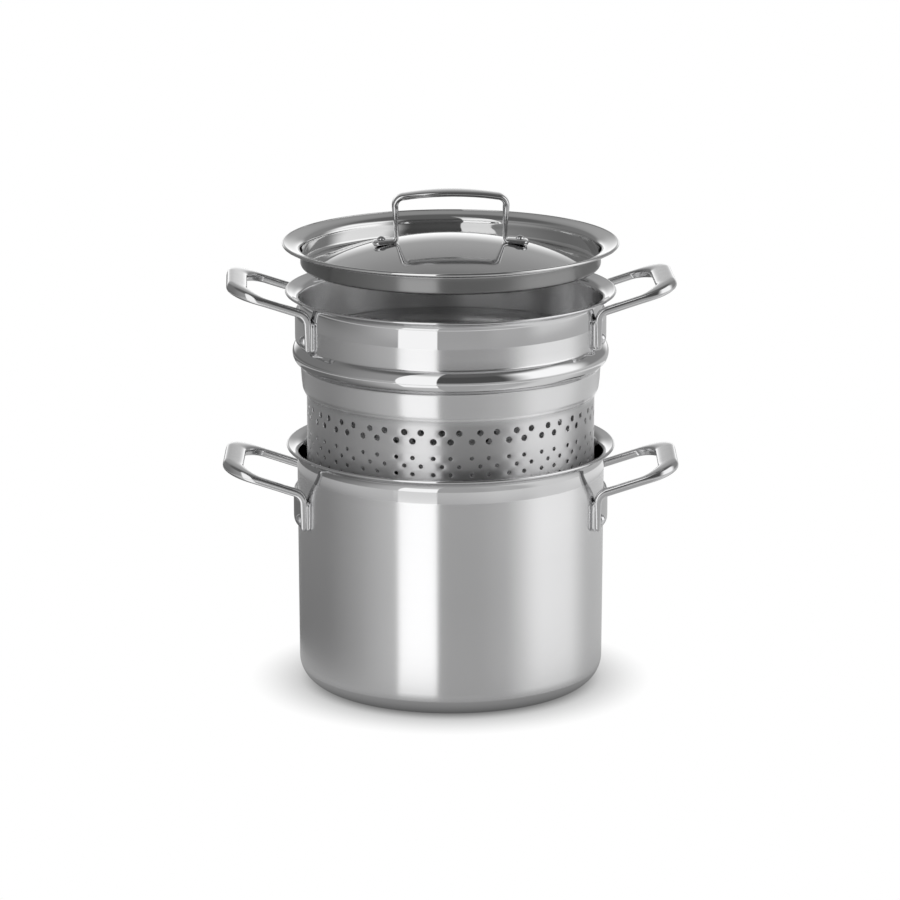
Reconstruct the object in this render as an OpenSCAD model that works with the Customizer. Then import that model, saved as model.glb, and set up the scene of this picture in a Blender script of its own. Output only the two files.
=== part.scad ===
// Pasta pot with a strainer insert and a lid, shown lifted apart one above the other.
// The frame's origin is the middle of the pot's foot, with +Z up and +X towards a handle.

/* [Pot] */
// Outer diameter of the pot's wall at the top
pot_d = 240; // [220:1:260]
// Height of the pot from its foot to its lip
pot_h = 192; // [170:1:230]
// How much smaller the wall's radius is at the foot than at the top
pot_draft = 0.8; // [0.3:0.1:1.5]
// Outside radius of the corner between the wall and the foot
pot_corner_r = 20; // [12:1:26]
// Thickness of the outer steel layer
pot_skin = 0.6; // [0.4:0.1:0.9]
// Thickness of the aluminium layer in the middle
pot_core_t = 1.5; // [1:0.1:2]
// Thickness of the inner steel layer
pot_liner = 0.5; // [0.3:0.1:0.8]
// Radius of the bend that turns the wall out into the lip
pot_bend_r = 5; // [4:0.5:7]
// How far the lip stands out past the wall
pot_lip = 8.7; // [7.5:0.1:10]

/* [Insert] */
// How much smaller the radius of the insert's upper wall is than that of the pot's wall
insert_gap = 2; // [1.5:0.1:3.5]
// Height of the insert from its foot to its rim
insert_h = 218.5; // [205:0.5:230]
// Thickness of the insert's sheet
insert_t = 1; // [0.7:0.1:1.3]
// Radius of the bend that turns the wall out into the rim
insert_bend_r = 4; // [3:0.5:5]
// How far the rim stands out past the upper wall
insert_rim = 10.8; // [9:0.1:12]
// Diameter of the insert's rolled edge
insert_edge_d = 2; // [1.6:0.1:2.4]
// Drop from the insert's rim to the middle of its bead
bead_drop = 51.5; // [48:0.5:56]
// Outside radius of the bead's round section
bead_r = 11.4; // [10:0.2:13]
// How far the bead stands out past the upper wall
bead_out = 5.1; // [4.5:0.1:5.5]
// How far the perforated wall stands in from the upper wall
basket_step = 5.8; // [5:0.1:11]
// Outside radius of the corner at the insert's foot
basket_corner_r = 14; // [10:1:18]
// How far the insert stands above its seat in the pot
insert_raise = 66; // [20:1:95]
// How far the insert is turned on the pot
insert_turn = 2.5; // [-8:0.5:8]

/* [Perforation] */
// Number of groups of four holes round the wall
hole_groups = 24; // [16:2:26]
// Angle between a hole and the next one in the other row of its group
hole_step_angle = 3.333; // [3:0.001:3.5]
// How far the pattern of holes is turned from the handles
pattern_turn = 5.8; // [0:0.1:15]
// Diameter of the holes in the two top rows
large_hole_d = 5; // [4:0.2:5.4]
// Diameter of the holes in the other rows
small_hole_d = 3.4; // [2.6:0.2:3.8]
// Depth of the first row of large holes below the bead's middle
large_row_drop = 37.6; // [35:0.2:40]
// Drop from the first row of large holes to the second
large_row_step = 6.8; // [6.4:0.1:8]
// Drop from the last row of large holes to the first row of small holes
row_gap = 13; // [11:0.5:15]
// Drop from one row of small holes to the next
small_row_step = 6.4; // [6:0.1:7.5]
// Number of rows of small holes in the wall
small_rows = 13; // [8:1:14]
// Distance from one ring of holes to the next in the foot
foot_ring_step = 13; // [12:0.5:16]
// The outermost ring of holes in the foot, counted from its plain middle
foot_rings = 6; // [3:1:6]
// Number of holes in each of the foot's inner rings; the outer rings have twice as many
foot_spokes = 18; // [12:1:18]
// The last ring with the smaller number of holes
foot_sparse_rings = 4; // [3:1:5]

/* [Lid] */
// Thickness of the lid's sheet
lid_t = 0.9; // [0.7:0.1:1.2]
// Radius of the dome's top surface
dome_r = 280; // [260:5:340]
// Distance from the dome's edge out to the plug's face
dome_margin = 16.8; // [9.5:0.1:20]
// Depth from the rim's bend down to the channel's floor
channel_depth = 10.6; // [9:0.1:14]
// Radius of the bends at the bottom of the channel
channel_bend_r = 2.6; // [2.2:0.1:3]
// Radius of the bend under the lid's rim
lid_bend_r = 2.2; // [1.8:0.1:4]
// How far the lid's rim stands out past its plug
lid_rim = 13.2; // [12.5:0.1:16]
// Diameter of the lid's rolled edge
lid_edge_d = 2.6; // [2.2:0.1:3.4]
// How far the lid stands above its seat on the insert
lid_raise = 34.9; // [15:0.1:60]
// How far the lid is turned on the insert
lid_turn = 0; // [-8:0.5:8]

/* [Lid handle] */
// Length of the lid handle over its two legs
lid_grip_l = 91; // [80:1:110]
// Width of the lid handle's strap
lid_grip_w = 18; // [14:1:22]
// Thickness of the lid handle's strap
lid_grip_t = 5; // [4:0.5:6]
// Height of the lid handle above the dome's top
lid_grip_h = 38; // [34:0.5:46]
// Length of each foot past its leg
lid_foot_l = 15; // [14:0.5:20]
// Thickness of each foot
lid_foot_t = 4; // [3:0.1:4.6]
// Outside radius of the handle's top corners
lid_corner_r = 9; // [7:0.5:12]

/* [Side handles] */
// How far a side handle reaches out past the wall
grip_reach = 57.4; // [50:0.5:66]
// Distance between the middles of a handle's two arms
arm_span = 93; // [84:1:100]
// Width of an arm
arm_w = 6.6; // [5:0.2:8]
// Thickness of an arm
arm_t = 6.2; // [5:0.2:7]
// Slope of the loop, rising away from the wall
arm_slope = 18; // [10:1:20]
// Width of the grip across its end
grip_w = 14.7; // [12:0.3:17]
// Thickness of the grip
grip_t = 8.6; // [7.5:0.1:10]
// Outside radius of the loop's two corners
loop_corner_r = 30; // [20:1:34]
// Height of a leg from its foot to the underside of its arm
leg_h = 28; // [22:1:30]
// Depth of a leg out from the wall
leg_depth = 5; // [4:0.5:6]
// Thickness of the curved plate between the legs
plate_t = 2.8; // [2:0.1:3.5]
// Height of the curved plate
plate_h = 22; // [16:1:24]
// Drop from the pot's lip to the feet of its handles' legs
pot_leg_drop = 61.5; // [54:0.5:80]
// Drop from the insert's rim to the feet of its handles' legs
insert_leg_drop = 40; // [38.5:0.5:41.5]

/* [Rivets] */
// Diameter of a side handle's rivet
rivet_d = 5; // [4:0.2:6]
// Diameter of the domed head outside
rivet_head_d = 9; // [7.5:0.2:10]
// Height of the domed head outside
rivet_head_h = 3.2; // [2:0.2:4]
// Diameter of the flat head inside
rivet_tail_d = 9; // [7:0.2:10]
// Height of the flat head inside
rivet_tail_h = 1.4; // [1:0.1:1.8]
// Distance from the middle of a leg to the middle of the rivet beside it
rivet_inset = 10.5; // [9.5:0.5:14]
// Height of a rivet above the foot of the legs
rivet_z = 7; // [6:0.5:12]
// Diameter of a lid rivet
lid_rivet_d = 4; // [3:0.2:4.6]
// Diameter of a lid rivet's heads
lid_head_d = 7; // [6:0.2:8]
// Height of a lid rivet's domed head
lid_head_h = 2.2; // [1.6:0.1:3]
// Radial play of a rivet in its bore
rivet_fit = 0.03; // [0.02:0.01:0.05]

/* [Hidden] */

steel = [0.74, 0.75, 0.76];
satin = [0.66, 0.67, 0.68];
aluminium = [0.82, 0.83, 0.85];
cast_steel = [0.70, 0.70, 0.71];

// Shares and angles that shape the bends
lip_angle = 60;
rim_angle = 68;
arc_points = 7;
edge_points = 18;
round_fn = 180;
small_fn = 32;
hole_fn = 20;
overrun = 5;

// The pot's wall
pot_r = pot_d / 2;
pot_wall = pot_skin + pot_core_t + pot_liner;
lip_run = (pot_lip - pot_bend_r * (1 - cos(lip_angle))) / sin(lip_angle);
pot_bend_z = pot_h - pot_bend_r * sin(lip_angle) - lip_run * cos(lip_angle) - pot_wall * sin(lip_angle);
pot_inner_r = pot_r - pot_wall;

// Points of an arc from angle a to angle b about a centre
function arc(cx, cz, r, a, b) = [
    for (i = [0 : arc_points])
        let (t = a + (b - a) * i / arc_points)
        [cx + r * cos(t), cz + r * sin(t)]
];

// One face of the pot's laminate, from the middle of the foot to the lip, a depth in from outside
function pot_face(depth) = concat(
    [[0, depth]],
    arc(pot_r - pot_draft - pot_corner_r, pot_corner_r, pot_corner_r - depth, -90, 0),
    arc(pot_r + pot_bend_r, pot_bend_z, pot_bend_r + depth, 180, 180 - lip_angle),
    [[
        pot_r + pot_bend_r - (pot_bend_r + depth) * cos(lip_angle) + lip_run * sin(lip_angle),
        pot_bend_z + (pot_bend_r + depth) * sin(lip_angle) + lip_run * cos(lip_angle)
    ]]
);
function flip(points) = [for (i = [len(points) - 1 : -1 : 0]) points[i]];
function trim(points) = [for (i = [0 : len(points) - 2]) points[i]];

// A rim's rolled edge, from the top face round to the lower face. Its middle lies a depth under
// the top face of a sheet of thickness t
function rolled_edge(middle, r, depth, t) =
    let (start = 270 - rim_angle - asin(depth / r), end = asin((t - depth) / r) - 90 - rim_angle) [
        for (i = [0 : edge_points])
            let (angle = start + (end - start) * i / edge_points)
            middle + r * [cos(angle), sin(angle)]
    ];

module pot_layer(outside, inside) {
    rotate_extrude($fn = round_fn) polygon(concat(pot_face(outside), flip(pot_face(inside))));
}

// The insert's wall, measured from its own foot
insert_r = pot_r - insert_gap;
basket_r = insert_r - basket_step;
bead_h = insert_h - bead_drop;
insert_edge_r = insert_edge_d / 2;
bead_x = insert_r + bead_out - bead_r;
rim_run = (insert_rim - insert_bend_r * (1 - cos(rim_angle))) / sin(rim_angle);
insert_bend_z = insert_h - insert_edge_r - rim_run * cos(rim_angle)
    - (insert_bend_r + insert_t - insert_edge_r) * sin(rim_angle);
neck_in_share = 1.8;
neck_r = insert_r - insert_t * neck_in_share;
bead_top_angle = acos((insert_r - bead_x) / bead_r);
bead_low_angle = acos((neck_r - bead_x) / bead_r);
neck_z = bead_h - bead_r * sin(bead_low_angle);
neck_drop_share = 1.8;
neck_drop = bead_r * neck_drop_share;

// The seat: the bead rests on the bend of the pot's lip
seat_reach = bead_r + pot_bend_r + pot_wall;
seat_gap = 0.4;
seated_bead_z = pot_bend_z + sqrt(pow(seat_reach, 2) - pow(pot_r + pot_bend_r - bead_x, 2)) + seat_gap;
insert_seat_z = seated_bead_z - bead_h;
insert_z = insert_seat_z + insert_raise;

// One face of the insert's sheet, a depth in from outside
function insert_face(depth) = concat(
    [[0, depth]],
    arc(basket_r - basket_corner_r, basket_corner_r, basket_corner_r - depth, -90, 0),
    [
        [basket_r - depth, neck_z - neck_drop],
        [neck_r - depth, neck_z - depth]
    ],
    arc(bead_x, bead_h, bead_r - depth, -bead_low_angle, bead_top_angle),
    arc(insert_r + insert_bend_r, insert_bend_z, insert_bend_r + depth, 180, 180 - rim_angle),
    [[
        insert_r + insert_bend_r - (insert_bend_r + depth) * cos(rim_angle) + rim_run * sin(rim_angle),
        insert_bend_z + (insert_bend_r + depth) * sin(rim_angle) + rim_run * cos(rim_angle)
    ]]
);
insert_edge_face = insert_face(insert_t - insert_edge_r);
insert_edge = insert_edge_face[len(insert_edge_face) - 1];
insert_roll = rolled_edge(insert_edge, insert_edge_r, insert_edge_r, insert_t);

// The lid, measured from the height of the bend under its rim. Its seat is where the slope under its
// rim lies on the slope of the insert's rim
plug_gap = 0.5;
rim_gap = 0.4;
plug_r = insert_r - insert_t - plug_gap;
insert_slope_r = insert_r + insert_bend_r - (insert_bend_r + insert_t) * cos(rim_angle);
insert_slope_z = insert_bend_z + (insert_bend_r + insert_t) * sin(rim_angle);
lid_slope_r = plug_r + lid_bend_r * (1 - cos(rim_angle));
lid_slope_z = lid_bend_r * sin(rim_angle);
slope_rise = (insert_slope_r - lid_slope_r) / tan(rim_angle);
lid_seat_z = insert_z + insert_slope_z - slope_rise - lid_slope_z + rim_gap;
lid_z = lid_seat_z + lid_raise;
lid_rim_run = (lid_rim - lid_bend_r * (1 - cos(rim_angle))) / sin(rim_angle);
dome_edge_r = plug_r - dome_margin;
dome_edge_angle = asin(dome_edge_r / dome_r);
channel_z = -channel_depth;
dome_edge_z = channel_z + channel_bend_r + lid_t;
dome_top_z = dome_edge_z + dome_r * (1 - cos(dome_edge_angle));
dome_arc_points = 10;
channel_start_angle = -110;

// The lid's top face, or the face a depth under it
function lid_face(depth) = concat(
    [
        for (i = [0 : dome_arc_points])
            let (t = dome_edge_angle * i / dome_arc_points)
            [(dome_r - depth) * sin(t), dome_top_z - dome_r + (dome_r - depth) * cos(t)]
    ],
    arc(
        plug_r - lid_t - channel_bend_r, channel_z + lid_t + channel_bend_r,
        channel_bend_r + depth, channel_start_angle, 0
    ),
    arc(plug_r + lid_bend_r, 0, lid_bend_r + lid_t - depth, 180, 180 - rim_angle),
    [[
        plug_r + lid_bend_r - (lid_bend_r + lid_t - depth) * cos(rim_angle) + lid_rim_run * sin(rim_angle),
        (lid_bend_r + lid_t - depth) * sin(rim_angle) + lid_rim_run * cos(rim_angle)
    ]]
);
lid_edge_r = lid_edge_d / 2;
lid_edge_share = 0.82;
lid_edge_depth = lid_t - lid_edge_share * lid_edge_r;
lid_edge_face = lid_face(lid_edge_depth);
lid_edge = lid_edge_face[len(lid_edge_face) - 1];
lid_roll = rolled_edge(lid_edge, lid_edge_r, lid_edge_depth, lid_t);

// The pot's three layers, pressed from one bonded sheet
module pot_outer_shell() {
    color(satin) difference() {
        pot_layer(0, pot_skin);
        pot_bores();
    }
}

module pot_core() {
    color(aluminium) difference() {
        pot_layer(pot_skin, pot_skin + pot_core_t);
        pot_bores();
    }
}

module pot_inner_liner() {
    color(steel) difference() {
        pot_layer(pot_skin + pot_core_t, pot_wall);
        pot_bores();
    }
}

// The pot filled up, which cuts the backs of its handles to fit the wall
module pot_solid() {
    rotate_extrude($fn = round_fn) polygon(concat(pot_face(0), [[0, pot_h]]));
}

// The insert filled up
module insert_solid() {
    rotate_extrude($fn = round_fn) polygon(concat(insert_face(0), [[0, insert_h]]));
}

// A bore along the X axis, from the middle out through a wall of radius r
module radial_bore(r, z, d) {
    translate([0, 0, z])
        rotate([0, 90, 0])
            cylinder(d = d, h = r + grip_reach, $fn = small_fn);
}

rivet_bore_d = rivet_d + 2 * rivet_fit;
rivet_side = arm_span / 2 - rivet_inset;
rivet_angle_pot = asin(rivet_side / pot_r);
rivet_angle_insert = asin(rivet_side / insert_r);

module wall_bores(r, angle, z) {
    for (end = [0, 180])
        for (turn = [-angle, angle])
            rotate([0, 0, end + turn])
                radial_bore(r, z, rivet_bore_d);
}

pot_leg_z = pot_h - pot_leg_drop;
insert_leg_z = insert_h - insert_leg_drop;

module pot_bores() { wall_bores(pot_r, rivet_angle_pot, pot_leg_z + rivet_z); }

module insert_bores() { wall_bores(insert_r, rivet_angle_insert, insert_leg_z + rivet_z); }

// A flat bar section with round long edges
module bar_section(w, t) {
    square([w - t, t], center = true);
    for (side = [-1, 1])
        translate([side * (w - t) / 2, 0])
            circle(d = t, $fn = small_fn);
}

// The loop of a side handle, lying flat, with its arms along X from the wall
loop_arm_r = loop_corner_r - arm_w / 2;
module loop(reach, start) {
    corner_x = reach - loop_corner_r;
    for (side = [-1, 1]) {
        translate([start, side * arm_span / 2, 0])
            rotate([90, 0, 90])
                linear_extrude(corner_x - start + loop_overlap)
                    bar_section(arm_w - loop_step, arm_t - loop_step);
        translate([corner_x, side * (arm_span / 2 - loop_arm_r), 0])
            rotate([0, 0, side > 0 ? 0 : -90])
                rotate_extrude(angle = 90, $fn = round_fn / 2)
                    translate([loop_arm_r, 0]) bar_section(arm_w, arm_t);
    }
    grip_l = arm_span - 2 * loop_arm_r + grip_w;
    translate([reach - grip_w / 2, grip_l / 2, 0])
        rotate([90, 0, 0])
            linear_extrude(grip_l) bar_section(grip_w, grip_t);
}

// How far an arm runs into its corner, and how much thinner it is, so that the two grow together
loop_overlap = 0.5;
loop_step = 0.04;

// A side handle on a vessel of a given radius, its leg feet at z = 0
module side_handle(r) {
    arm_z = leg_h + arm_t / 2;
    arm_start = (leg_outer_x(r) - r) / cos(arm_slope) - leg_depth;
    difference() {
        union() {
            translate([r, 0, arm_z])
                rotate([0, -arm_slope, 0])
                    loop(grip_reach / cos(arm_slope), arm_start);
            for (side = [-1, 1])
                translate([0, side * arm_span / 2 - arm_w / 2, 0])
                    cube([leg_outer_x(r), arm_w, arm_z]);
            intersection() {
                cylinder(r = r + plate_t, h = plate_h, $fn = round_fn);
                translate([0, -arm_span / 2, 0]) cube([r + plate_t, arm_span, plate_h]);
            }
        }
        for (turn = [-1, 1])
            rotate([0, 0, turn * asin(rivet_side / r)])
                radial_bore(r, rivet_z, rivet_bore_d);
    }
}
function leg_outer_x(r) = sqrt(pow(r, 2) - pow(arm_span / 2 - arm_w / 2, 2)) + leg_depth;

module pot_handle(turn) {
    color(cast_steel) rotate([0, 0, turn]) difference() {
        translate([0, 0, pot_leg_z]) side_handle(pot_r);
        pot_solid();
    }
}

module insert_handle(turn) {
    color(cast_steel) translate([0, 0, insert_z]) rotate([0, 0, insert_turn + turn]) difference() {
        translate([0, 0, insert_leg_z]) side_handle(insert_r);
        insert_solid();
    }
}

module pot_handle_left() { pot_handle(180); }

module pot_handle_right() { pot_handle(0); }

module insert_handle_left() { insert_handle(180); }

module insert_handle_right() { insert_handle(0); }

// A domed head of height h on a flat round base, standing on z = 0
module domed_head(d, h) {
    sphere_r = (pow(d / 2, 2) + pow(h, 2)) / (2 * h);
    intersection() {
        translate([0, 0, h - sphere_r]) sphere(r = sphere_r, $fn = 2 * small_fn);
        cylinder(d = d * head_edge_share, h = h, $fn = small_fn);
    }
}
head_edge_share = 0.94;
head_root_share = 0.5;

// A rivet along X: shank from the inner face to the outer face, a dome outside and a disc inside
module side_rivet(inner_r, outer_r, draft) {
    tail_x = sqrt(pow(inner_r, 2) - pow(rivet_tail_d / 2, 2)) - draft;
    shank_l = outer_r - tail_x + rivet_tail_h + rivet_head_h * head_root_share;
    translate([tail_x - rivet_tail_h, 0, 0])
        rotate([0, 90, 0]) {
            cylinder(d = rivet_tail_d, h = rivet_tail_h, $fn = small_fn);
            cylinder(d = rivet_d, h = shank_l, $fn = small_fn);
        }
    translate([outer_r + rivet_fit, 0, 0]) rotate([0, 90, 0]) domed_head(rivet_head_d, rivet_head_h);
}

module pot_rivet(turn) {
    color(steel) rotate([0, 0, turn]) translate([0, 0, pot_leg_z + rivet_z])
        side_rivet(pot_inner_r, pot_r + plate_t, pot_draft);
}

module insert_rivet(turn) {
    color(steel) translate([0, 0, insert_z + insert_leg_z + rivet_z]) rotate([0, 0, insert_turn + turn])
        side_rivet(insert_r - insert_t, insert_r + plate_t, 0);
}

module pot_rivet_left_front() { pot_rivet(180 + rivet_angle_pot); }

module pot_rivet_left_rear() { pot_rivet(180 - rivet_angle_pot); }

module pot_rivet_right_front() { pot_rivet(-rivet_angle_pot); }

module pot_rivet_right_rear() { pot_rivet(rivet_angle_pot); }

module insert_rivet_left_front() { insert_rivet(180 + rivet_angle_insert); }

module insert_rivet_left_rear() { insert_rivet(180 - rivet_angle_insert); }

module insert_rivet_right_front() { insert_rivet(-rivet_angle_insert); }

module insert_rivet_right_rear() { insert_rivet(rivet_angle_insert); }

// One ring of holes: two holes in each group, with the row's own offset
module hole_row(z, d, offset) {
    group_angle = 360 / hole_groups;
    for (group = [0 : hole_groups - 1])
        for (pair = [0, 1])
            rotate([0, 0, pattern_turn - 90 + group * group_angle + offset + pair * 2 * hole_step_angle])
                translate([basket_r - overrun, 0, z])
                    rotate([0, 90, 0])
                        cylinder(d = d, h = 2 * overrun, $fn = hole_fn);
}

large_row_z = bead_h - large_row_drop;
small_row_z = large_row_z - large_row_step - row_gap;

module insert_body() {
    color(satin) translate([0, 0, insert_z]) rotate([0, 0, insert_turn]) difference() {
        rotate_extrude($fn = round_fn)
            polygon(concat(trim(insert_face(0)), flip(insert_roll), flip(trim(insert_face(insert_t)))));
        insert_bores();
        hole_row(large_row_z, large_hole_d, hole_step_angle);
        hole_row(large_row_z - large_row_step, large_hole_d, 0);
        for (row = [0 : small_rows - 1])
            hole_row(small_row_z - row * small_row_step, small_hole_d, row % 2 * hole_step_angle);
        for (ring = [2 : foot_rings]) {
            count = foot_spokes * (ring > foot_sparse_rings ? 2 : 1);
            for (step = [0 : count - 1])
                rotate([0, 0, 360 * step / count])
                    translate([ring * foot_ring_step, 0, -overrun])
                        cylinder(d = small_hole_d, h = 2 * overrun, $fn = hole_fn);
        }
    }
}

// Where the lid's rivets stand
lid_rivet_share = 0.55;
lid_rivet_x = lid_grip_l / 2 + lid_foot_l * lid_rivet_share;
lid_rivet_bore_d = lid_rivet_d + 2 * rivet_fit;

module lid_bores() {
    for (side = [-1, 1])
        translate([side * lid_rivet_x, 0, 0])
            cylinder(d = lid_rivet_bore_d, h = lid_grip_h, $fn = small_fn);
}

// The lid's sheet, with its edge rolled up into a bead
module lid_body() {
    color(steel) translate([0, 0, lid_z]) rotate([0, 0, insert_turn + lid_turn]) difference() {
        rotate_extrude($fn = round_fn)
            polygon(concat(trim(lid_face(0)), lid_roll, flip(trim(lid_face(lid_t)))));
        lid_bores();
    }
}

// The height of the dome's top face at the middle of a foot
foot_seat_z = dome_top_z - dome_r + sqrt(pow(dome_r, 2) - pow(lid_rivet_x, 2));

// The arched strap seen from the front: legs, top bar and two feet on the dome
module strap_outline() {
    top_z = dome_top_z + lid_grip_h;
    foot_z = foot_seat_z;
    half_l = lid_grip_l / 2;
    difference() {
        union() {
            translate([-half_l, foot_z - overrun])
                square([lid_grip_l, top_z - foot_z + overrun - lid_corner_r]);
            translate([lid_corner_r - half_l, foot_z])
                square([lid_grip_l - 2 * lid_corner_r, top_z - foot_z]);
            for (side = [-1, 1])
                translate([side * (half_l - lid_corner_r), top_z - lid_corner_r])
                    circle(r = lid_corner_r, $fn = 2 * small_fn);
            translate([-half_l - lid_foot_l, foot_z - overrun])
                square([lid_grip_l + 2 * lid_foot_l, overrun + lid_foot_t]);
        }
        inner_l = lid_grip_l - 2 * lid_grip_t;
        inner_r = lid_corner_r - lid_grip_t;
        translate([-inner_l / 2, foot_z - 2 * overrun])
            square([inner_l, top_z - foot_z + 2 * overrun - lid_grip_t - inner_r]);
        translate([inner_r - inner_l / 2, foot_z])
            square([inner_l - 2 * inner_r, top_z - foot_z - lid_grip_t]);
        for (side = [-1, 1])
            translate([side * (inner_l / 2 - inner_r), top_z - lid_grip_t - inner_r])
                circle(r = inner_r, $fn = 2 * small_fn);
    }
}

module lid_handle() {
    color(cast_steel) translate([0, 0, lid_z]) rotate([0, 0, insert_turn + lid_turn]) difference() {
        intersection() {
            translate([0, lid_grip_w / 2, 0]) rotate([90, 0, 0]) linear_extrude(lid_grip_w) strap_outline();
            foot_end_r = lid_grip_w / 2;
            union() {
                end_x = lid_grip_l / 2 + lid_foot_l - foot_end_r;
                translate([-end_x, -foot_end_r, 0])
                    cube([2 * end_x, lid_grip_w, dome_top_z + 2 * lid_grip_h]);
                for (side = [-1, 1])
                    translate([side * end_x, 0, 0])
                        cylinder(r = foot_end_r, h = dome_top_z + 2 * lid_grip_h, $fn = 2 * small_fn);
            }
        }
        translate([0, 0, dome_top_z - dome_r]) sphere(r = dome_r, $fn = 4 * round_fn);
        lid_bores();
    }
}

module lid_rivet(side) {
    under_z = foot_seat_z - lid_t - tail_relief;
    color(steel) translate([0, 0, lid_z]) rotate([0, 0, insert_turn + lid_turn])
        translate([side * lid_rivet_x, 0, 0]) {
            translate([0, 0, under_z - rivet_tail_h])
                cylinder(d = lid_head_d, h = rivet_tail_h, $fn = small_fn);
            translate([0, 0, under_z - rivet_tail_h])
                cylinder(d = lid_rivet_d, h = lid_shank_l, $fn = small_fn);
            translate([0, 0, foot_seat_z + lid_foot_t + rivet_fit]) domed_head(lid_head_d, lid_head_h);
        }
}
tail_relief = lid_head_d / 2 * lid_rivet_x / dome_r;
lid_shank_l = lid_foot_t + lid_t + tail_relief + rivet_tail_h + lid_head_h * head_root_share;

module lid_rivet_left() { lid_rivet(-1); }

module lid_rivet_right() { lid_rivet(1); }

pot_outer_shell();
pot_core();
pot_inner_liner();
pot_handle_left();
pot_handle_right();
pot_rivet_left_front();
pot_rivet_left_rear();
pot_rivet_right_front();
pot_rivet_right_rear();
insert_body();
insert_handle_left();
insert_handle_right();
insert_rivet_left_front();
insert_rivet_left_rear();
insert_rivet_right_front();
insert_rivet_right_rear();
lid_body();
lid_handle();
lid_rivet_left();
lid_rivet_right();
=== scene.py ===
import math

import bmesh
import bpy
import numpy as np
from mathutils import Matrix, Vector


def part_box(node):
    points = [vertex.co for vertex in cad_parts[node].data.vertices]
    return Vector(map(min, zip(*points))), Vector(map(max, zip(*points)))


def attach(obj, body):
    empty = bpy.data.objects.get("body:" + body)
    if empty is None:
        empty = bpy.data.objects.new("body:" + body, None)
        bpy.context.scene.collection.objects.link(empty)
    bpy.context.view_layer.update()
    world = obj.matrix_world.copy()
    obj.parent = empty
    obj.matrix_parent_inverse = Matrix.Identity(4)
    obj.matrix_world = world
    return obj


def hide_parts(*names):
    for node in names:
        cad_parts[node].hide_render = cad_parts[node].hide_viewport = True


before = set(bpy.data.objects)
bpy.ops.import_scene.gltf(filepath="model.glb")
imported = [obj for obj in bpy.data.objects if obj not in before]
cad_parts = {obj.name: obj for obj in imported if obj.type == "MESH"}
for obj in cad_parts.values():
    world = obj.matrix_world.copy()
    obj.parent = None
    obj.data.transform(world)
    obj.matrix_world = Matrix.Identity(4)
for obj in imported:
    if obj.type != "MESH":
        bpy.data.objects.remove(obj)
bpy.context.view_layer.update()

# The camera stands well back and somewhat above the lid, and looks slightly down at the middle of
# the stack through a long lens, so the pot, the insert and the lid show as nearly flat ellipses.
camera_distance = 3.525
camera_pitch = math.radians(13.78)
camera_target = (-0.0005, 0.0, 0.1841)
camera_data = bpy.data.cameras.new("photo_camera")
camera_data.lens = 180.0
camera_data.sensor_width = 36.0
camera_data.clip_end = 20.0
camera = bpy.data.objects.new("photo_camera", camera_data)
camera.location = (
    camera_target[0],
    camera_target[1] - camera_distance * math.cos(camera_pitch),
    camera_target[2] + camera_distance * math.sin(camera_pitch),
)
camera.rotation_euler = (math.pi / 2 - camera_pitch, 0.0, 0.0)
bpy.context.scene.collection.objects.link(camera)
bpy.context.scene.camera = camera

# The pot's body is pressed from one bonded sheet of steel, aluminium and steel. Its wall is
# brushed round and round, its lip is rolled outwards to pour cleanly, and a band under the lip and
# the whole inside are polished.
mm = 0.001
merge_gap = 0.004
pot_r = 120.0
pot_draft = 0.8
pot_corner_r = 20.0
pot_sheet_t = 2.6
pot_lip_out = 8.6
pot_lip_rise = 10.4
pot_lip_drop = 1.2
pot_lip_slope = 68.0
pot_band_z = 171.0
pot_top_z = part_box("pot_outer_shell")[1].z / mm
brushed_steel = (0.72, 0.72, 0.725)
mirror_rough = 0.05
brushed_rough = 0.24


def arc(centre_r, centre_z, radius, start, end, steps):
    """Points on a circle from one angle to another, in degrees, counted from the outward
    direction."""
    angle = np.radians(np.linspace(start, end, steps + 1))
    return np.stack([centre_r + radius * np.cos(angle), centre_z + radius * np.sin(angle)], axis=1)


def flare(start, end, slope, steps=16):
    """A smooth bend from an upright wall to a slope, in degrees from upright: a cubic curve whose
    bend eases off towards its end."""
    slope = math.radians(slope)
    start, end = np.array(start), np.array(end)
    reach = np.linalg.norm(end - start)
    first = start + [0.0, 0.5 * reach]
    last = end - 0.45 * reach * np.array([math.sin(slope), math.cos(slope)])
    t = np.linspace(0, 1, steps + 1)[:, None]
    near_start = (1 - t) ** 3 * start + 3 * t * (1 - t) ** 2 * first
    return near_start + 3 * t**2 * (1 - t) * last + t**3 * end


def run_and_normal(face):
    """The directions along an outline, (dr, dz) at length 1, and those across it, (dz, -dr)."""
    run = np.gradient(face, axis=0)
    run /= np.linalg.norm(run, axis=1, keepdims=True)
    return run, np.stack([run[:, 1], -run[:, 0]], axis=1)


def sheet(face, thickness):
    """A closed outline of a bent sheet: its outer face, a round edge, then the same face moved
    inwards along its normal by the thickness."""
    run, normal = run_and_normal(face)
    depth = np.broadcast_to(thickness, len(face))[:, None]
    half = depth[-1] / 2
    turn = np.radians(np.linspace(0, 180, 11))[1:-1, None]
    middle = face[-1] - normal[-1] * half - run[-1] * half
    edge = middle + half * (normal[-1] * np.cos(turn) + run[-1] * np.sin(turn))
    face_end = face[-1] - run[-1] * half
    back = face - normal * depth
    back_end = face_end - normal[-1] * depth[-1]
    return np.concatenate([face[:-1], [face_end], edge, [back_end], back[-2::-1]])


def lathe(outline, segments):
    """A surface of revolution: each outline point (r, z) goes to (r cos a, r sin a, z) for a whole
    turn of the angle a. An anticlockwise outline gives faces that look out."""
    angle = np.arange(segments) * 2 * np.pi / segments
    r, z = outline[:, 0:1], outline[:, 1:2]
    return np.stack([r * np.cos(angle), r * np.sin(angle), z + 0 * angle], axis=2), None


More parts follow.
